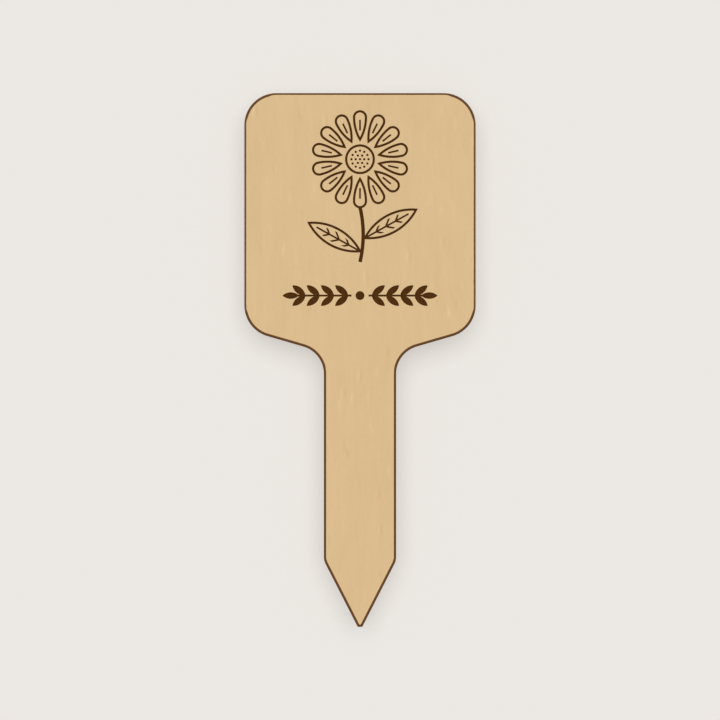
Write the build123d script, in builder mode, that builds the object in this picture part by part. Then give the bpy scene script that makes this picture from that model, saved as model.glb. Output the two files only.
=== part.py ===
"""Plant label stake: a laser-cut, laser-engraved label of three-ply plywood.

The stake stands upright as in use. Z runs up from the tip, X across the head, and Y from front to back.
The origin is the tip, on the centre line, halfway through the thickness. All sizes are in millimetres.
"""

from build123d import *

import os

# Outline of the board
label_length = 150.0
head_width = 65.0
head_height = 66.4  # from the top edge to the corner where the shoulder starts
shoulder_drop = 6.5  # fall of the shoulder from the head's side to the stem
stem_width = 20.3
point_length = 18.6
tip_width = 1.3
head_corner_radius = 9.0
neck_radius = 8.0
point_corner_radius = 4.0

# Layers of the board
front_veneer_thickness = 0.8
core_thickness = 1.2
back_veneer_thickness = 0.8
glue_thickness = 0.1

# What the laser burns away at the cut edge
front_scorch_width = 0.74  # the front rim is burnt to a shallow slope
front_scorch_depth = 0.1
back_scorch_width = 0.3
back_scorch_depth = 0.06
core_burn_back = 0.06  # the core and the glue end this far inside the veneers' edge
glue_burn_back = 0.1

# Engraved lines
engraving_depth = 0.35
line_width = 0.65
fine_line_width = 0.5

# Flower head: a ring of outlined petals round a dotted disc
flower_drop = 18.6  # from the top edge to the middle of the disc
disc_radius = 4.2
dot_radius = 0.33
dot_ring_step = 1.2
dot_rings = 2
dots_added_per_ring = 6
petal_count = 14
petal_reach = 13.8  # from the middle of the disc to the petals' tips
petal_width = 4.0
petal_clearance = 0.7  # from the disc to the petals' inner ends
fold_length = 3.0  # the fold is a fine line along the middle of a petal
fold_clearance = 2.7  # from the fold to the petal's tip

# Flower stem and its two leaves
flower_stem_length = 15.4
flower_stem_width = 1.0
flower_stem_bow = 0.9
right_leaf_place = 0.58  # share of the flower stem above the leaf
left_leaf_place = 0.82
leaf_tilt = 29.0  # degrees above the horizontal
leaf_length = 17.6
leaf_width = 5.6
midrib_clearance = 3.0  # from the midrib to the leaf's tip
vein_pairs = 3
vein_start = 4.2  # from the leaf's base to the first pair of veins
vein_pitch = 3.1
vein_angle = 40.0  # degrees from the midrib
vein_clearance = 0.6  # from the veins to the leaf's outline

# Garland under the flower: a berry with a leafy twig on each side
garland_rise = 9.5  # from the corner of the shoulder up to the middle of the garland
berry_radius = 1.25
twig_clearance = 1.15  # from the berry to the twigs
twig_width = 0.55
leaflet_length = 4.7
leaflet_width = 1.85
leaflet_angle = 38.0  # degrees from the twig
leaflet_pairs = 4
leaflet_start = 0.9  # from the twig's inner end to the first pair of leaflets
leaflet_pitch = 4.0
end_leaflet_gap = 1.8  # from the last pair to the leaflet at the twig's end

# Heights above the tip
shoulder_height = label_length - head_height
neck_height = shoulder_height - shoulder_drop
flower_height = label_length - flower_drop
flower_stem_height = flower_height - petal_reach + line_width / 2  # inside the lowest petal's line
garland_height = shoulder_height + garland_rise

# Places of the layers' faces, measured from the middle of the board towards the front
board_thickness = (
    front_veneer_thickness + core_thickness + back_veneer_thickness + 2 * glue_thickness
)
front_face = board_thickness / 2
front_veneer_back = front_face - front_veneer_thickness
core_front = front_veneer_back - glue_thickness
core_back = core_front - core_thickness
back_veneer_front = core_back - glue_thickness
back_face = back_veneer_front - back_veneer_thickness

# The outline has the same corners on both sides, from the tip up to the top edge
right_corners = [
    (tip_width / 2, 0),
    (stem_width / 2, point_length),
    (stem_width / 2, neck_height),
    (head_width / 2, shoulder_height),
    (head_width / 2, label_length),
]
left_corners = [(-x, z) for x, z in reversed(right_corners)]
right_radii = [
    0,  # the tip's corners are sharp
    point_corner_radius,
    neck_radius,
    head_corner_radius,
    head_corner_radius,
]
with BuildSketch(Plane.XZ) as outline:
    with BuildLine():
        FilletPolyline(
            *right_corners,
            *left_corners,
            radius=right_radii + right_radii[::-1],
            close=True,
        )
    make_face()

# One petal, with its inner end at the origin and its tip along X
petal_base = disc_radius + petal_clearance
petal_length = petal_reach - petal_base
fold_end = petal_length - fold_clearance
with BuildSketch() as petal:
    with BuildLine():
        petal_tip = CenterArc((petal_length - petal_width / 2, 0), petal_width / 2, -90, 180)
        TangentArc(petal_tip @ 1, (0, 0), tangent=petal_tip % 1)
        TangentArc(petal_tip @ 0, (0, 0), tangent=-(petal_tip % 0))
    make_face()
    offset(amount=-line_width, kind=Kind.INTERSECTION, mode=Mode.SUBTRACT)
    with BuildLine():
        Line((fold_end - fold_length, 0), (fold_end, 0))
    trace(line_width=fine_line_width)

# The flower head, with the middle of its disc at the origin
with BuildSketch() as flower:
    Circle(disc_radius)
    Circle(disc_radius - line_width, mode=Mode.SUBTRACT)
    Circle(dot_radius)
    for ring in range(1, dot_rings + 1):
        with PolarLocations(ring * dot_ring_step, ring * dots_added_per_ring):
            Circle(dot_radius)
    with PolarLocations(petal_base, petal_count, start_angle=90):
        add(petal.sketch)

# One leaf, with its base at the origin and its tip along X
with BuildSketch() as leaf_blade:
    with BuildLine():
        SagittaArc((0, 0), (leaf_length, 0), leaf_width / 2)
        SagittaArc((0, 0), (leaf_length, 0), -leaf_width / 2)
    make_face()

with BuildSketch() as veins:
    for vein in range(vein_pairs):
        vein_base = (vein_start + vein * vein_pitch, 0)
        for side in (-1, 1):
            with BuildLine():
                PolarLine(vein_base, leaf_width, side * vein_angle)
            trace(line_width=fine_line_width)
    vein_room = offset(
        leaf_blade.sketch,
        amount=-line_width - vein_clearance,
        kind=Kind.INTERSECTION,
        mode=Mode.PRIVATE,
    )
    add(vein_room, mode=Mode.INTERSECT)

with BuildSketch() as leaf:
    add(leaf_blade.sketch)
    offset(amount=-line_width, kind=Kind.INTERSECTION, mode=Mode.SUBTRACT)
    with BuildLine():
        Line((0, 0), (leaf_length - midrib_clearance, 0))
    trace(line_width=fine_line_width)
    add(veins.sketch)

# The flower stem and its leaves, with the top of the stem at the origin
with BuildSketch() as flower_stem:
    with BuildLine():
        stem_line = SagittaArc((0, 0), (0, -flower_stem_length), flower_stem_bow)
    trace(line_width=flower_stem_width)
    with Locations(stem_line @ right_leaf_place):
        add(leaf.sketch, rotation=leaf_tilt)
    with Locations(stem_line @ left_leaf_place):
        add(leaf.sketch, rotation=180 - leaf_tilt)

# One twig of the garland, with its inner end at the origin, runs halfway into its end leaflet
end_leaflet_place = leaflet_start + (leaflet_pairs - 1) * leaflet_pitch + end_leaflet_gap
twig_length = end_leaflet_place + leaflet_length / 2
with BuildSketch() as leaflet:
    with BuildLine():
        SagittaArc((0, 0), (leaflet_length, 0), leaflet_width / 2)
        SagittaArc((0, 0), (leaflet_length, 0), -leaflet_width / 2)
    make_face()

with BuildSketch() as twig:
    with BuildLine():
        Line((0, 0), (twig_length, 0))
    trace(line_width=twig_width)
    for pair in range(leaflet_pairs):
        with Locations((leaflet_start + pair * leaflet_pitch, 0)):
            add(leaflet.sketch, rotation=leaflet_angle)
            add(leaflet.sketch, rotation=-leaflet_angle)
    with Locations((end_leaflet_place, 0)):
        add(leaflet.sketch)

# Everything that is engraved, drawn on the front face
twig_start = berry_radius + twig_clearance
with BuildSketch(Plane.XZ.offset(front_face)) as engraving:
    with Locations((0, flower_height)):
        add(flower.sketch)
    with Locations((0, flower_stem_height)):
        add(flower_stem.sketch)
    with Locations((0, garland_height)):
        Circle(berry_radius)
    with Locations((twig_start, garland_height)):
        add(twig.sketch)
    with Locations((-twig_start, garland_height)):
        add(twig.sketch, rotation=180)

os.makedirs("parts", exist_ok=True)

# The front veneer carries the engraving
with BuildPart() as front_veneer:
    with BuildSketch(Plane.XZ.offset(front_veneer_back)):
        add(outline.sketch_local)
    extrude(amount=front_veneer_thickness)
    label_front = front_veneer.faces().sort_by(Axis.Y)[0]
    chamfer(
        label_front.edges(),
        length=front_scorch_width,
        length2=front_scorch_depth,
        reference=label_front,
    )
    extrude(engraving.sketch, amount=-engraving_depth, mode=Mode.SUBTRACT)
front_veneer.part.label = "front_veneer"
export_step(front_veneer.part, "parts/front_veneer.step")

# The back veneer is plain
with BuildPart() as back_veneer:
    with BuildSketch(Plane.XZ.offset(back_face)):
        add(outline.sketch_local)
    extrude(amount=back_veneer_thickness)
    label_back = back_veneer.faces().sort_by(Axis.Y)[-1]
    chamfer(
        label_back.edges(),
        length=back_scorch_width,
        length2=back_scorch_depth,
        reference=label_back,
    )
back_veneer.part.label = "back_veneer"
export_step(back_veneer.part, "parts/back_veneer.step")

# The layers between them: the place of each one's back face, its thickness and how far it is burnt back
inner_layers = {
    "front_glue_line": (core_front, glue_thickness, glue_burn_back),
    "core_veneer": (core_back, core_thickness, core_burn_back),
    "back_glue_line": (back_veneer_front, glue_thickness, glue_burn_back),
}
for layer_name, (layer_back, layer_thickness, burn_back) in inner_layers.items():
    with BuildPart() as layer:
        with BuildSketch(Plane.XZ.offset(layer_back)):
            add(outline.sketch_local)
            offset(amount=-burn_back)
        extrude(amount=layer_thickness)
    layer.part.label = layer_name
    export_step(layer.part, f"parts/{layer_name}.step")
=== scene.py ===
"""Finish of the plant label stake.

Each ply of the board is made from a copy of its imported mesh, with eased rims, bare wood on its face and
char where the laser cut or engraved it. The stage is a pale backdrop, soft light and a camera square to
the front.
"""

import collections
import math

import bmesh
import bpy
from bpy.props import FloatProperty, FloatVectorProperty, PointerProperty
from mathutils import Matrix, Vector


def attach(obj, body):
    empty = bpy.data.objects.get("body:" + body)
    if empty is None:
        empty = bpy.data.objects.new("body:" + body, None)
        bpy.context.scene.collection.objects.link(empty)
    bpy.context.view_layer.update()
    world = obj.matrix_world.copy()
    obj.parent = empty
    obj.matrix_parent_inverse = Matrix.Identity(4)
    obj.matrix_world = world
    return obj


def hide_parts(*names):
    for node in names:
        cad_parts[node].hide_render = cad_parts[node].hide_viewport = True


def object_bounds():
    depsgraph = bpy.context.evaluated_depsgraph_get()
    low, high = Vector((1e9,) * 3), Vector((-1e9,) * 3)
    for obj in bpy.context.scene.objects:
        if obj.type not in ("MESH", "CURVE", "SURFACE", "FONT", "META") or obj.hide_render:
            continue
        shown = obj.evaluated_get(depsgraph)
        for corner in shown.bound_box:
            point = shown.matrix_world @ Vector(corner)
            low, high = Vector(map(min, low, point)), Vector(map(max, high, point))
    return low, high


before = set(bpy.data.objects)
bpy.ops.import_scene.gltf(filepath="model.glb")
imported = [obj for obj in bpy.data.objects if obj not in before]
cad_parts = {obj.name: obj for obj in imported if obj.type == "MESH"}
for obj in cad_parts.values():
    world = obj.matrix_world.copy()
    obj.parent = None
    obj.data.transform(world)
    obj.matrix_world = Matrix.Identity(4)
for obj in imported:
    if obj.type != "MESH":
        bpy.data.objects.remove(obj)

CAD_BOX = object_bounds()
CAD_MIDDLE = (CAD_BOX[0] + CAD_BOX[1]) / 2
MM = 0.001
QUARTER_TURN = math.radians(90)
WHITE = (1, 1, 1, 1)
BACKDROP_HALF_SIZE = 2.0

# Directions of the grain
ALONG_STEM = (0, 0, 1)
ACROSS_STEM = (1, 0, 0)

# How far each ply's patterns are moved, in millimetres, so that no two plies look alike
FRONT_OFFSET = (0, 0, 0)
CORE_OFFSET = (40, 0, 70)
BACK_OFFSET = (140, 0, 60)

# Places of the materials that a veneer has besides its face's
FRONT_ENGRAVING, FRONT_EDGE = 1, 2
BACK_EDGE = 1

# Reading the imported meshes
MERGE_DISTANCE = 0.0005 * MM
SAME_LEVEL = 0.002 * MM  # depths this near are one level
CORNER_ANGLE = math.radians(35)  # faces that turn by more meet at a sharp edge
LEAST_FACET = 0.5 * MM  # shorter facets of an arc stay whole
FACET_MATCH = 0.01  # facets of one arc are alike in length to this share
FACET_TURN = math.radians(55)  # the most that an arc turns from one facet to the next

# Sizes of the patterns along X, Y and Z, in millimetres
WOOD_WANDER = (20, 20, 50)
WOOD_BANDS = (5, 5, 33)
WOOD_CLOUDS = (4.5, 4.5, 10)
WOOD_STREAKS = (1.1, 1.1, 14)
WOOD_FIBRES = (0.2, 0.2, 5)
WOOD_PORES = (0.125, 0.125, 1.7)
FLECK_TURNS = (9, 9, 20)
SCORCH_PATCHES = (1.1, 1.1, 1.1)
SCORCH_CREEP = (0.2, 0.2, 1.25)
ENGRAVING_STREAKS = (0.33, 0.33, 3.3)
EDGE_LINES = (0.83, 16.7, 0.83)
EDGE_PATCHES = (8.3, 3.3, 8.3)
RESIN_BEADS = (0.55, 0.55, 0.55)

# Stretches of a noise of 0 to 1 over which something comes in
NOISE_BODY = (0.3, 0.7)  # where most of the noise lies
PORE_PEAKS = (0.64, 0.76)
TURN_STEP = (0.42, 0.52)
EDGE_SOOT = (0.6, 0.38)  # soot lies in the hollows

# Depths of burn, in millimetres, over which wood browns, scorches and chars
TOASTED = (0.0005, 0.006)
SCORCHED = (0.001, 0.009)
CHARRED = (0.02, 0.08)

# How far an edge faces along the grain, as a cosine, where its end grain starts to show and shows fully
END_GRAIN = (0.15, 0.85)

# How far a rim may turn from upright or level and still run straight, and where it counts as a curve
STRAIGHT = math.radians(3.6)
CURVED = math.radians(15)

# Shares of a size, a noise or a second colour that vary a surface
FLECK_SHIFT = 0.3  # of a fleck's width, from its middle to that of its pale or dark half
PORE_DENT = 0.6  # depth of the pores beside the fibres' relief
ROUGHNESS_SPAN = 0.16
BURN_SPAN = 0.5  # unevenness of the burn's depth
BLOTCH_SPAN = 0.6  # how far the burn's creep breaks up its patches
PALE_BLOTCHES = 0.4  # most of the side grain's colour in a scorched rim
DARK_RIM = 0.65  # most of the end grain's colour in a charred rim
SCAN_LINES = 0.08  # of the laser's passes beside the engraving's streaks
ENGRAVING_SHADES = 0.26  # most of the rim's colour in the engraving
LINES_IN_EDGE = 0.6  # of the fine lines beside an edge's patches
SOOT_ON_EDGE = 0.55  # most of the resin's colour on a cut edge
RESIN_SHADES = 0.45  # most of the end grain's colour on a glue line

bl_info = {
    "name": "Plant Label Stake",
    "version": (1, 0, 0),
    "blender": (4, 5, 0),
    "location": "3D View > Sidebar > Plant Label",
    "description": "Finishes a laser-cut plywood plant label and sets its stage",
    "category": "Object",
}


def srgb(red, green, blue):
    """A linear colour with full alpha, from display values of 0 to 255."""
    shares = [value / 255 for value in (red, green, blue)]
    linear = [s / 12.92 if s <= 0.04045 else ((s + 0.055) / 1.055) ** 2.4 for s in shares]
    return (*linear, 1.0)


def colour_setting(name, description, colour):
    return FloatVectorProperty(
        name=name, description=description, subtype="COLOR", size=4, min=0, max=1, default=colour
    )


def length_setting(name, description, length):
    return FloatProperty(
        name=name,
        description=description,
        subtype="DISTANCE",
        unit="LENGTH",
        precision=5,
        min=0,
        default=length,
    )


def share_setting(name, description, share):
    return FloatProperty(
        name=name, description=description, subtype="FACTOR", min=0, max=1, default=share
    )


def angle_setting(name, description, degrees):
    return FloatProperty(
        name=name,
        description=description,
        subtype="ANGLE",
        unit="ROTATION",
        default=math.radians(degrees),
    )


class WoodSettings(bpy.types.PropertyGroup):
    """The bare wood of the veneers."""

    middle: colour_setting("Middle", "Colour of most of the wood", srgb(216, 185, 138))
    dark: colour_setting("Dark", "Colour of the darkest fibres", srgb(196, 165, 112))
    pale: colour_setting("Pale", "Colour of the palest fibres", srgb(234, 201, 150))
    fleck_width: length_setting("Fleck Width", "Width of a fleck in the grain", 1.5 * MM)
    fleck_length: length_setting("Fleck Length", "Length of a fleck along the grain", 6.0 * MM)
    fleck_spacing: length_setting("Fleck Spacing", "Distance between flecks across the grain", 2.4 * MM)
    pale_fleck: share_setting("Pale Fleck", "How far a fleck's pale half lightens the wood", 0.24)
    dark_fleck: share_setting("Dark Fleck", "How far a fleck's dark half darkens the wood", 0.16)
    figure: share_setting("Figure", "How far each layer of the grain shades the wood", 0.16)
    pores: share_setting("Pores", "How far the pores darken the wood", 0.22)
    wander: length_setting("Wander", "How far the grain strays sideways", 5 * MM)
    relief: length_setting("Relief", "Depth of the fibres and pores", 0.02 * MM)
    roughness: share_setting("Roughness", "Roughness of the sanded wood", 0.62)
    gloss: share_setting("Gloss", "Strength of the wood's sheen", 0.2)


class CharSettings(bpy.types.PropertyGroup):
    """What the laser has burnt."""

    toast: colour_setting("Toast", "Colour of wood that is only browned", srgb(160, 112, 62))
    rim: colour_setting("Rim", "Colour of the scorched slope round a face", srgb(98, 66, 29))
    engraving: colour_setting("Engraving", "Colour of the engraved lines", srgb(74, 41, 9))
    side_grain: colour_setting("Side Grain", "Colour of a cut edge along the grain", srgb(126, 84, 48))
    end_grain: colour_setting("End Grain", "Colour of a cut edge across the grain", srgb(84, 52, 28))
    resin: colour_setting("Resin", "Colour of a glue line at the cut edge", srgb(46, 29, 17))
    eased_rim: length_setting("Eased Rim", "Width of the rounding on a cut rim", 0.06 * MM)
    stem_margin: length_setting("Stem Margin", "Depth of slope left bare by the stem's sides", 0.0085 * MM)
    head_margin: length_setting("Head Margin", "Depth of slope left bare by the head's sides", 0.026 * MM)
    scan_pitch: length_setting("Scan Pitch", "Distance between the laser's engraving passes", 0.12 * MM)
    relief: length_setting("Relief", "Depth of the char's lines and beads", 0.03 * MM)
    roughness: share_setting("Roughness", "Roughness of charred wood", 0.88)
    gloss: share_setting("Gloss", "Strength of the char's sheen", 0.06)
    resin_roughness: share_setting("Resin Roughness", "Roughness of the melted glue", 0.62)
    resin_gloss: share_setting("Resin Gloss", "Strength of the melted glue's sheen", 0.25)


class StageSettings(bpy.types.PropertyGroup):
    """The backdrop, the light and the camera."""

    backdrop: colour_setting("Backdrop", "Colour of the pale backdrop", srgb(236, 232, 227))
    backdrop_gap: length_setting("Backdrop Gap", "Distance from the label's back to the backdrop", 6 * MM)
    shadow_share: share_setting("Shadow Share", "Share of its brightness that a shadow can take", 0.45)
    sky: share_setting("Sky", "Brightness of the even light from all round", 0.2)
    lamp_height: angle_setting("Lamp Height", "Height of the lamps above the horizon", 12)
    lamp_spread: angle_setting("Lamp Spread", "Angle that each lamp fills, which softens its shadow", 70)
    rear_turn: angle_setting("Rear Turn", "How far round from the front each rear lamp stands", 130)
    rear_lamps: share_setting("Rear Lamps", "Brightness of each rear lamp on a face turned to it", 0.6)
    lens: FloatProperty(
        name="Lens", description="Focal length of the camera", subtype="DISTANCE_CAMERA", default=100
    )
    view_height: length_setting("View Height", "Height of the picture at the label's front", 202.3 * MM)


def new_tree(name):
    """A new material and its empty node tree."""
    material = bpy.data.materials.new(name)
    material.use_nodes = True
    material.node_tree.nodes.clear()
    return material, material.node_tree


def node(tree, kind, inputs, **settings):
    """A node with its settings, and with each named input linked to a socket or set to a value."""
    made = tree.nodes.new(kind)
    for name, value in settings.items():
        setattr(made, name, value)
    for name, value in inputs.items():
        if isinstance(value, bpy.types.NodeSocket):
            tree.links.new(value, made.inputs[name])
        else:
            made.inputs[name].default_value = value
    return made


def maths(tree, operation, first, second=0.0, third=0.0):
    """The result of a sum on up to three numbers."""
    return node(tree, "ShaderNodeMath", {0: first, 1: second, 2: third}, operation=operation).outputs[0]


def between(tree, value, low, high, to_low=0.0, to_high=1.0):
    """A number that goes smoothly from to_low to to_high as the value goes from low to high."""
    ends = {"Value": value, 1: low, 2: high, 3: to_low, 4: to_high}
    return node(tree, "ShaderNodeMapRange", ends, interpolation_type="SMOOTHSTEP").outputs[0]


def mixed(tree, share, first, second):
    """Two colours mixed."""
    sockets = {0: share, 6: first, 7: second}
    return node(tree, "ShaderNodeMix", sockets, data_type="RGBA").outputs[2]


def place(tree, offset=(0, 0, 0)):
    """The point on the piece, in millimetres, moved by an offset."""
    point = node(tree, "ShaderNodeTexCoord", {}).outputs["Object"]
    inputs = {"Vector": point, "Location": offset, "Scale": (1 / MM, 1 / MM, 1 / MM)}
    return node(tree, "ShaderNodeMapping", inputs).outputs[0]


def moved(tree, point, sideways):
    """A point moved along X."""
    step = node(tree, "ShaderNodeCombineXYZ", {"X": sideways}).outputs[0]
    return node(tree, "ShaderNodeVectorMath", {0: point, 1: step}, operation="ADD").outputs[0]


def noise(tree, point, size, detail=3.0, roughness=0.5):
    """Noise of 0 to 1 with a pattern of some size along X, Y and Z."""
    scale = [1 / length for length in size]
    stretched = node(tree, "ShaderNodeMapping", {"Vector": point, "Scale": scale}).outputs[0]
    inputs = {"Vector": stretched, "Scale": 1.0, "Detail": detail, "Roughness": roughness}
    return node(tree, "ShaderNodeTexNoise", inputs).outputs["Fac"]


def swing(tree, share, span, middle=0.0):
    """A share of 0 to 1 as a number within half a span of a middle."""
    return maths(tree, "MULTIPLY_ADD", share, span, middle - span / 2)


def flecks(tree, point, sideways, chance, wood):
    """Sparse slender flecks along Z, moved sideways, each as strong as a channel of its random colour."""
    across = wood.fleck_spacing / MM
    along = across * wood.fleck_length / wood.fleck_width
    radius = wood.fleck_width / (2 * wood.fleck_spacing)
    shifted = moved(tree, point, sideways)
    scale = (1 / across, 0, 1 / along)
    stretched = node(tree, "ShaderNodeMapping", {"Vector": shifted, "Scale": scale}).outputs[0]
    cells = node(tree, "ShaderNodeTexVoronoi", {"Vector": stretched, "Scale": 1.0}).outputs
    strength = node(tree, "ShaderNodeSeparateColor", {0: cells["Color"]}).outputs[chance]
    return maths(tree, "MULTIPLY", between(tree, cells["Distance"], radius, 0.0), strength)


def wood_figure(tree, wood, offset):
    """Colour and height of bare wood whose grain runs along Z."""
    point = place(tree, offset)
    strays = swing(tree, noise(tree, point, WOOD_WANDER, detail=2), wood.wander / MM)
    grain = moved(tree, point, strays)
    fibres = noise(tree, grain, WOOD_FIBRES)
    bands = noise(tree, grain, WOOD_BANDS)
    clouds = noise(tree, grain, WOOD_CLOUDS, detail=1)
    streaks = noise(tree, grain, WOOD_STREAKS)
    tone = 0.5
    for layer in (bands, clouds, streaks, fibres):
        tone = maths(tree, "ADD", tone, swing(tree, layer, wood.figure))
    # The pale and the dark half of a fleck overlap a little, and swap sides from place to place
    shift = FLECK_SHIFT * wood.fleck_width / MM
    aside = between(tree, noise(tree, point, FLECK_TURNS, detail=2), *TURN_STEP, -shift, shift)
    pale = flecks(tree, grain, aside, "Red", wood)
    dark = flecks(tree, grain, maths(tree, "MULTIPLY", aside, -1.0), "Green", wood)
    pores = between(tree, noise(tree, grain, WOOD_PORES, detail=1), *PORE_PEAKS)
    for mark, strength in ((pale, wood.pale_fleck), (dark, -wood.dark_fleck), (pores, -wood.pores)):
        tone = maths(tree, "MULTIPLY_ADD", mark, strength, tone)
    ramp = node(tree, "ShaderNodeValToRGB", {"Fac": tone})
    ramp.color_ramp.elements[0].color = wood.dark
    ramp.color_ramp.elements[1].color = wood.pale
    ramp.color_ramp.elements.new(0.5).color = wood.middle
    return ramp.outputs["Color"], maths(tree, "MULTIPLY_ADD", pores, -PORE_DENT, fibres)


def shaded(material, tree, colour, roughness, gloss, height, depth):
    """Finishes a material with a matt surface whose height pattern is so many metres deep."""
    bump = node(tree, "ShaderNodeBump", {"Height": height, "Strength": 1.0, "Distance": depth}).outputs[0]
    inputs = {"Base Color": colour, "Roughness": roughness, "Specular IOR Level": gloss, "Normal": bump}
    surface = node(tree, "ShaderNodeBsdfPrincipled", inputs)
    node(tree, "ShaderNodeOutputMaterial", {"Surface": surface.outputs[0]})
    return material


def straight_runs(tree):
    """1 where the edge runs straight up or straight across, falling to 0 where it curves or slants."""
    normal = node(tree, "ShaderNodeNewGeometry", {}).outputs["Normal"]
    flat = node(tree, "ShaderNodeVectorMath", {0: normal, 1: (1, 0, 1)}, operation="MULTIPLY").outputs[0]
    heading = node(tree, "ShaderNodeVectorMath", {0: flat}, operation="NORMALIZE").outputs[0]
    parts = node(tree, "ShaderNodeSeparateXYZ", {0: heading}).outputs
    across, up = (maths(tree, "ABSOLUTE", parts[axis]) for axis in "XZ")
    square = maths(tree, "MAXIMUM", across, up)
    return between(tree, square, math.cos(CURVED), math.cos(STRAIGHT))


def scorched_veneer(name, wood, char, face, inward, margins, offset):
    """Bare wood on a veneer's face, scorched where the rim slopes away from it.

    Inward is 1 or -1 along Y. The margins are the depths of slope left bare by the stem's sides and by the
    head's.
    """
    material, tree = new_tree(name)
    colour, height = wood_figure(tree, wood, offset)
    point = place(tree)
    parts = node(tree, "ShaderNodeSeparateXYZ", {0: point}).outputs
    patches = noise(tree, point, SCORCH_PATCHES)
    creep = noise(tree, point, SCORCH_CREEP)
    depth = maths(tree, "MULTIPLY_ADD", parts["Y"], inward, -inward * face / MM)
    depth = maths(tree, "MULTIPLY", depth, swing(tree, patches, BURN_SPAN, 1.0))
    # The head's straight sides are above the label's middle, and the stem's are below it
    stem_margin, head_margin = margins
    in_head = maths(tree, "GREATER_THAN", parts["Z"], CAD_MIDDLE.z / MM)
    margin = between(tree, in_head, 0.0, 1.0, stem_margin / MM, head_margin / MM)
    margin = maths(tree, "MULTIPLY", margin, straight_runs(tree))
    margin = maths(tree, "MULTIPLY", margin, swing(tree, creep, BURN_SPAN, 1.0))
    burnt = maths(tree, "SUBTRACT", depth, margin)
    blotches = maths(tree, "ADD", patches, swing(tree, creep, BLOTCH_SPAN))
    pale = between(tree, blotches, *NOISE_BODY, 0.0, PALE_BLOTCHES)
    rim = mixed(tree, pale, char.rim, char.side_grain)
    rim = mixed(tree, between(tree, burnt, *CHARRED, 0.0, DARK_RIM), rim, char.end_grain)
    colour = mixed(tree, between(tree, burnt, *TOASTED), colour, char.toast)
    scorch = between(tree, burnt, *SCORCHED)
    colour = mixed(tree, scorch, colour, rim)
    rough = between(tree, scorch, 0.0, 1.0, wood.roughness, char.roughness)
    rough = maths(tree, "ADD", rough, swing(tree, height, ROUGHNESS_SPAN))
    return shaded(material, tree, colour, rough, wood.gloss, height, wood.relief)


def engraved_char(name, char):
    """Dark char with the laser's passes running across the grain."""
    material, tree = new_tree(name)
    point = place(tree)
    up = node(tree, "ShaderNodeSeparateXYZ", {0: point}).outputs["Z"]
    passes = maths(tree, "SINE", maths(tree, "MULTIPLY", up, 2 * math.pi * MM / char.scan_pitch))
    streaks = noise(tree, point, ENGRAVING_STREAKS)
    tone = maths(tree, "MULTIPLY_ADD", passes, SCAN_LINES, streaks)
    pale = between(tree, tone, *NOISE_BODY, 0.0, ENGRAVING_SHADES)
    colour = mixed(tree, pale, char.engraving, char.rim)
    rough = swing(tree, streaks, ROUGHNESS_SPAN, char.roughness)
    return shaded(material, tree, colour, rough, char.gloss, tone, char.relief)


def cut_edge(name, char, grain, offset):
    """A laser-cut edge with fine lines through its thickness, darker where it cuts across the grain."""
    material, tree = new_tree(name)
    point = place(tree, offset)
    normal = node(tree, "ShaderNodeNewGeometry", {}).outputs["Normal"]
    along = node(tree, "ShaderNodeVectorMath", {0: normal, 1: grain}, operation="DOT_PRODUCT")
    ends = between(tree, maths(tree, "ABSOLUTE", along.outputs["Value"]), *END_GRAIN)
    lines = noise(tree, point, EDGE_LINES, detail=4, roughness=0.7)
    patches = noise(tree, point, EDGE_PATCHES)
    tone = maths(tree, "MULTIPLY", patches, 1 - LINES_IN_EDGE)
    tone = maths(tree, "MULTIPLY_ADD", lines, LINES_IN_EDGE, tone)
    colour = mixed(tree, ends, char.side_grain, char.end_grain)
    colour = mixed(tree, between(tree, tone, *EDGE_SOOT, 0.0, SOOT_ON_EDGE), colour, char.resin)
    rough = swing(tree, tone, ROUGHNESS_SPAN, char.roughness)
    return shaded(material, tree, colour, rough, char.gloss, lines, char.relief)


def resin_edge(name, char):
    """A glue line, dark and faintly glossy where the laser melted it."""
    material, tree = new_tree(name)
    beads = noise(tree, place(tree), RESIN_BEADS)
    pale = between(tree, beads, *NOISE_BODY, 0.0, RESIN_SHADES)
    colour = mixed(tree, pale, char.resin, char.end_grain)
    rough = swing(tree, beads, ROUGHNESS_SPAN, char.resin_roughness)
    return shaded(material, tree, colour, rough, char.resin_gloss, beads, char.relief)


def merged_copy(name):
    """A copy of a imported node's mesh with its loose triangles joined."""
    mesh = bmesh.new()
    mesh.from_mesh(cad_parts[name].data)
    bmesh.ops.remove_doubles(mesh, verts=mesh.verts, dist=MERGE_DISTANCE)
    return mesh


def levels_of(mesh, count):
    """The depths along Y that hold the most vertices, front first."""
    depths = collections.Counter(round(vertex.co.y, 6) for vertex in mesh.verts)
    return sorted(depth for depth, _ in depths.most_common(count))


def touches(part, level):
    """Whether an edge or a face has a vertex at a level."""
    return any(abs(vertex.co.y - level) < SAME_LEVEL for vertex in part.verts)


def is_flat(part):
    """Whether all of an edge or a face is at one level."""
    return all(abs(vertex.co.y - part.verts[0].co.y) < SAME_LEVEL for vertex in part.verts)


def is_rim(edge):
    """Whether an edge runs along the rim of a wall or a slope, at one level."""
    return is_flat(edge) and not all(is_flat(face) for face in edge.link_faces)


def join_walls(mesh):
    """Joins the triangles of the walls and slopes into four-sided faces."""
    walls = [face for face in mesh.faces if not is_flat(face)]
    bmesh.ops.join_triangles(
        mesh,
        faces=walls,
        cmp_materials=True,
        angle_face_threshold=CORNER_ANGLE,
        angle_shape_threshold=math.pi,
    )


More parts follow.
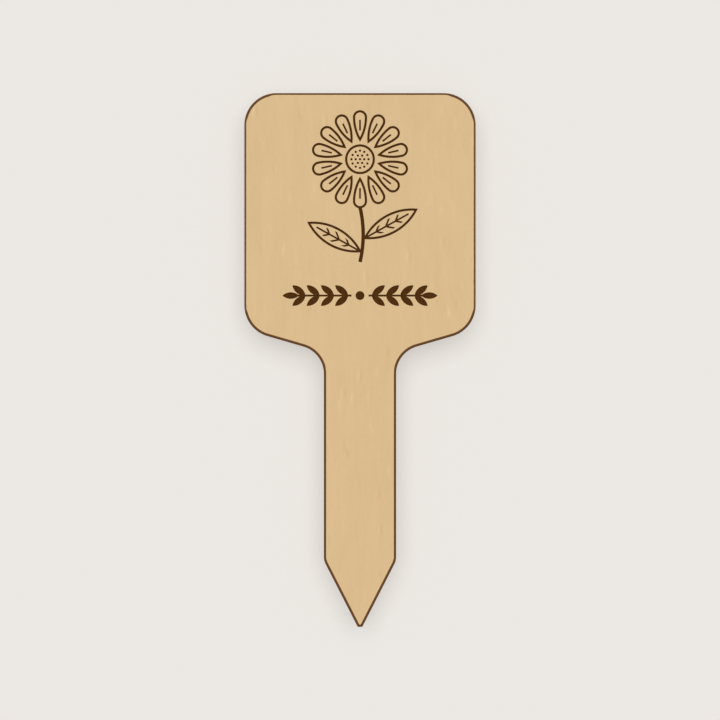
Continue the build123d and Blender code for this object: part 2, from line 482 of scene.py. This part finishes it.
def arc_bulge(edge, rims):
    """How far an arc stands out from the middle of a facet, or None if the edge isn't an arc's facet."""
    length = edge.calc_length()
    for corner in edge.verts:
        along = (corner.co - edge.other_vert(corner).co).normalized()
        for other in corner.link_edges:
            if other is edge or other not in rims or abs(other.calc_length() / length - 1) > FACET_MATCH:
                continue
            onward = (other.other_vert(corner).co - corner.co).normalized()
            turn = along.angle(onward)
            if 0 < turn < FACET_TURN:
                inward = (onward - along * along.dot(onward)).normalized()
                return -inward * length / 2 * math.tan(turn / 4)
    return None


def round_curves(mesh):
    """Halves the facets of the curved walls and moves the new corners out onto the curve."""
    rims = {edge for edge in mesh.edges if is_rim(edge)}
    bulges = {edge: arc_bulge(edge, rims) for edge in mesh.edges if edge in rims}
    facets = [edge for edge, bulge in bulges.items() if bulge and edge.calc_length() > LEAST_FACET]
    added = set(bmesh.ops.subdivide_edges(mesh, edges=facets, cuts=1)["geom_inner"])
    for edge in facets:
        (middle,) = added.intersection(edge.verts)
        middle.co += bulges[edge]


def ease_rims(mesh, levels, width):
    """Rounds the outline's rim at each of the levels."""
    rims = [edge for edge in mesh.edges if is_rim(edge) and any(touches(edge, level) for level in levels)]
    bmesh.ops.bevel(
        mesh,
        geom=rims,
        offset=width,
        offset_type="OFFSET",
        affect="EDGES",
        segments=2,
        profile=0.5,
        material=-1,
    )


def finish_piece(mesh, name, materials):
    """Turns the mesh into an object with smooth walls and flat faces that moves with the label."""
    for face in mesh.faces:
        face.smooth = not is_flat(face)
    for edge in mesh.edges:
        edge.smooth = edge.is_manifold and edge.calc_face_angle() < CORNER_ANGLE
    data = bpy.data.meshes.new(name)
    mesh.to_mesh(data)
    mesh.free()
    for material in materials:
        data.materials.append(material)
    piece = bpy.data.objects.new(name, data)
    bpy.context.scene.collection.objects.link(piece)
    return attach(piece, "root")


class PLANTLABEL_OT_front_veneer(bpy.types.Operator):
    """Make the engraved front veneer"""

    bl_idname = "plant_label.front_veneer"
    bl_label = "Front Veneer"

    def execute(self, context):
        wood, char = context.scene.label_wood, context.scene.label_char
        mesh = merged_copy("front_veneer")
        front, rim, floor, back = levels_of(mesh, 4)
        for face in mesh.faces:
            if touches(face, floor):
                face.material_index = FRONT_ENGRAVING
            elif touches(face, back):
                face.material_index = FRONT_EDGE
        join_walls(mesh)
        round_curves(mesh)
        ease_rims(mesh, [rim], char.eased_rim)
        margins = (char.stem_margin, char.head_margin)
        materials = [
            scorched_veneer("sanded_front", wood, char, front, 1, margins, FRONT_OFFSET),
            engraved_char("engraved_char", char),
            cut_edge("front_cut_edge", char, ALONG_STEM, FRONT_OFFSET),
        ]
        piece = finish_piece(mesh, "engraved_front", materials)
        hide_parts("front_veneer")
        return {"FINISHED"}


class PLANTLABEL_OT_back_veneer(bpy.types.Operator):
    """Make the plain back veneer"""

    bl_idname = "plant_label.back_veneer"
    bl_label = "Back Veneer"

    def execute(self, context):
        wood, char = context.scene.label_wood, context.scene.label_char
        mesh = merged_copy("back_veneer")
        front, rim, back = levels_of(mesh, 3)
        for face in mesh.faces:
            if touches(face, front):
                face.material_index = BACK_EDGE
        join_walls(mesh)
        round_curves(mesh)
        ease_rims(mesh, [rim], char.eased_rim)
        materials = [
            scorched_veneer("sanded_back", wood, char, back, -1, (0, 0), BACK_OFFSET),
            cut_edge("back_cut_edge", char, ALONG_STEM, BACK_OFFSET),
        ]
        piece = finish_piece(mesh, "plain_back", materials)
        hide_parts("back_veneer")
        return {"FINISHED"}


class PLANTLABEL_OT_core_veneer(bpy.types.Operator):
    """Make the core veneer, whose grain runs across the label"""

    bl_idname = "plant_label.core_veneer"
    bl_label = "Core Veneer"

    def execute(self, context):
        char = context.scene.label_char
        mesh = merged_copy("core_veneer")
        join_walls(mesh)
        round_curves(mesh)
        ease_rims(mesh, levels_of(mesh, 2), char.eased_rim)
        materials = [cut_edge("core_cut_edge", char, ACROSS_STEM, CORE_OFFSET)]
        piece = finish_piece(mesh, "cross_grain_core", materials)
        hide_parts("core_veneer")
        return {"FINISHED"}


class PLANTLABEL_OT_glue_lines(bpy.types.Operator):
    """Make the two glue lines between the veneers"""

    bl_idname = "plant_label.glue_lines"
    bl_label = "Glue Lines"

    def execute(self, context):
        material = resin_edge("charred_resin", context.scene.label_char)
        for name in ("front_glue_line", "back_glue_line"):
            mesh = merged_copy(name)
            join_walls(mesh)
            round_curves(mesh)
            piece = finish_piece(mesh, name.replace("glue_line", "resin_film"), [material])
            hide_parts(name)
        return {"FINISHED"}


def backdrop_finish(stage):
    """Pale paper that is clear from behind, with part of its brightness its own to keep shadows soft."""
    material, tree = new_tree("pale_backdrop")
    paper = node(tree, "ShaderNodeBsdfDiffuse", {"Color": stage.backdrop})
    glow = node(tree, "ShaderNodeEmission", {"Color": stage.backdrop, "Strength": 1.0})
    shares = {0: stage.shadow_share, 1: glow.outputs[0], 2: paper.outputs[0]}
    lit = node(tree, "ShaderNodeMixShader", shares)
    behind = node(tree, "ShaderNodeNewGeometry", {}).outputs["Backfacing"]
    clear = node(tree, "ShaderNodeBsdfTransparent", {})
    sided = node(tree, "ShaderNodeMixShader", {0: behind, 1: lit.outputs[0], 2: clear.outputs[0]})
    node(tree, "ShaderNodeOutputMaterial", {"Surface": sided.outputs[0]})
    return material


def add_backdrop(stage):
    """A large upright sheet close behind the label, which neither lights it nor hides it from behind."""
    mesh = bmesh.new()
    bmesh.ops.create_grid(mesh, x_segments=1, y_segments=1, size=BACKDROP_HALF_SIZE)
    upright = Matrix.Rotation(QUARTER_TURN, 3, "X")
    bmesh.ops.rotate(mesh, cent=(0, 0, 0), matrix=upright, verts=mesh.verts)
    behind = (0, CAD_BOX[1].y + stage.backdrop_gap, CAD_MIDDLE.z)
    bmesh.ops.translate(mesh, vec=behind, verts=mesh.verts)
    data = bpy.data.meshes.new("backdrop")
    mesh.to_mesh(data)
    mesh.free()
    data.materials.append(backdrop_finish(stage))
    backdrop = bpy.data.objects.new("backdrop", data)
    bpy.context.scene.collection.objects.link(backdrop)
    backdrop.visible_diffuse = False
    backdrop.visible_shadow = False


def light_sky(stage):
    """Even light from all round. Seen directly or in a reflection, the sky has the backdrop's colour."""
    world = bpy.data.worlds.new("studio")
    bpy.context.scene.world = world
    world.use_nodes = True
    tree = world.node_tree
    tree.nodes.clear()
    path = node(tree, "ShaderNodeLightPath", {}).outputs
    seen = maths(tree, "MAXIMUM", path["Is Camera Ray"], path["Is Transmission Ray"])
    seen = maths(tree, "MAXIMUM", seen, path["Is Glossy Ray"])
    light = node(tree, "ShaderNodeBackground", {"Color": WHITE, "Strength": stage.sky})
    shown = node(tree, "ShaderNodeBackground", {"Color": stage.backdrop, "Strength": 1.0})
    both = node(tree, "ShaderNodeMixShader", {0: seen, 1: light.outputs[0], 2: shown.outputs[0]})
    node(tree, "ShaderNodeOutputWorld", {"Surface": both.outputs[0]})


def add_lamp(name, stage, brightness, turn):
    """A wide sun above the label, turned round from its front, of some brightness on an upright face."""
    level = math.cos(stage.lamp_height)
    data = bpy.data.lights.new(name, "SUN")
    data.angle = stage.lamp_spread
    data.energy = brightness * math.pi / level
    lamp = bpy.data.objects.new(name, data)
    towards = Vector((-level * math.sin(turn), level * math.cos(turn), -math.sin(stage.lamp_height)))
    lamp.rotation_euler = towards.to_track_quat("-Z", "Y").to_euler()
    bpy.context.scene.collection.objects.link(lamp)
    return data


def add_camera(stage):
    """A camera square to the label's front, on its middle."""
    data = bpy.data.cameras.new("front_camera")
    data.lens = stage.lens
    distance = stage.view_height * data.lens / data.sensor_width
    camera = bpy.data.objects.new("front_camera", data)
    camera.location = (CAD_MIDDLE.x, CAD_BOX[0].y - distance, CAD_MIDDLE.z)
    camera.rotation_euler = (QUARTER_TURN, 0, 0)
    bpy.context.scene.collection.objects.link(camera)
    bpy.context.scene.camera = camera


class PLANTLABEL_OT_stage(bpy.types.Operator):
    """Set the backdrop, the light and the camera"""

    bl_idname = "plant_label.stage"
    bl_label = "Stage"

    def execute(self, context):
        stage = context.scene.label_stage
        context.scene.view_settings.view_transform = "Standard"
        add_backdrop(stage)
        light_sky(stage)
        add_lamp("front_lamp", stage, 1 - stage.sky, 0)
        for name, turn in (("rear_left_lamp", -stage.rear_turn), ("rear_right_lamp", stage.rear_turn)):
            add_lamp(name, stage, stage.rear_lamps, turn).cycles.max_bounces = 0
        add_camera(stage)
        return {"FINISHED"}


class PLANTLABEL_PT_panel(bpy.types.Panel):
    """The label's settings and the steps that make it"""

    bl_idname = "PLANTLABEL_PT_panel"
    bl_label = "Plant Label Stake"
    bl_space_type = "VIEW_3D"
    bl_region_type = "UI"
    bl_category = "Plant Label"

    def draw(self, context):
        layout = self.layout
        for title, settings in (
            ("Wood", context.scene.label_wood),
            ("Char", context.scene.label_char),
            ("Stage", context.scene.label_stage),
        ):
            box = layout.box()
            box.label(text=title)
            for name in settings.__annotations__:
                box.prop(settings, name)
        for step in STEPS:
            layout.operator(step.bl_idname)


STEPS = (
    PLANTLABEL_OT_stage,
    PLANTLABEL_OT_front_veneer,
    PLANTLABEL_OT_glue_lines,
    PLANTLABEL_OT_core_veneer,
    PLANTLABEL_OT_back_veneer,
)
CLASSES = (WoodSettings, CharSettings, StageSettings, *STEPS, PLANTLABEL_PT_panel)


def register():
    for each in CLASSES:
        bpy.utils.register_class(each)
    bpy.types.Scene.label_wood = PointerProperty(type=WoodSettings)
    bpy.types.Scene.label_char = PointerProperty(type=CharSettings)
    bpy.types.Scene.label_stage = PointerProperty(type=StageSettings)


def unregister():
    del bpy.types.Scene.label_stage
    del bpy.types.Scene.label_char
    del bpy.types.Scene.label_wood
    for each in reversed(CLASSES):
        bpy.utils.unregister_class(each)


def main():
    register()
    bpy.ops.plant_label.stage()
    bpy.ops.plant_label.front_veneer()
    bpy.ops.plant_label.glue_lines()
    bpy.ops.plant_label.core_veneer()
    bpy.ops.plant_label.back_veneer()


if __name__ == "__main__":
    main()
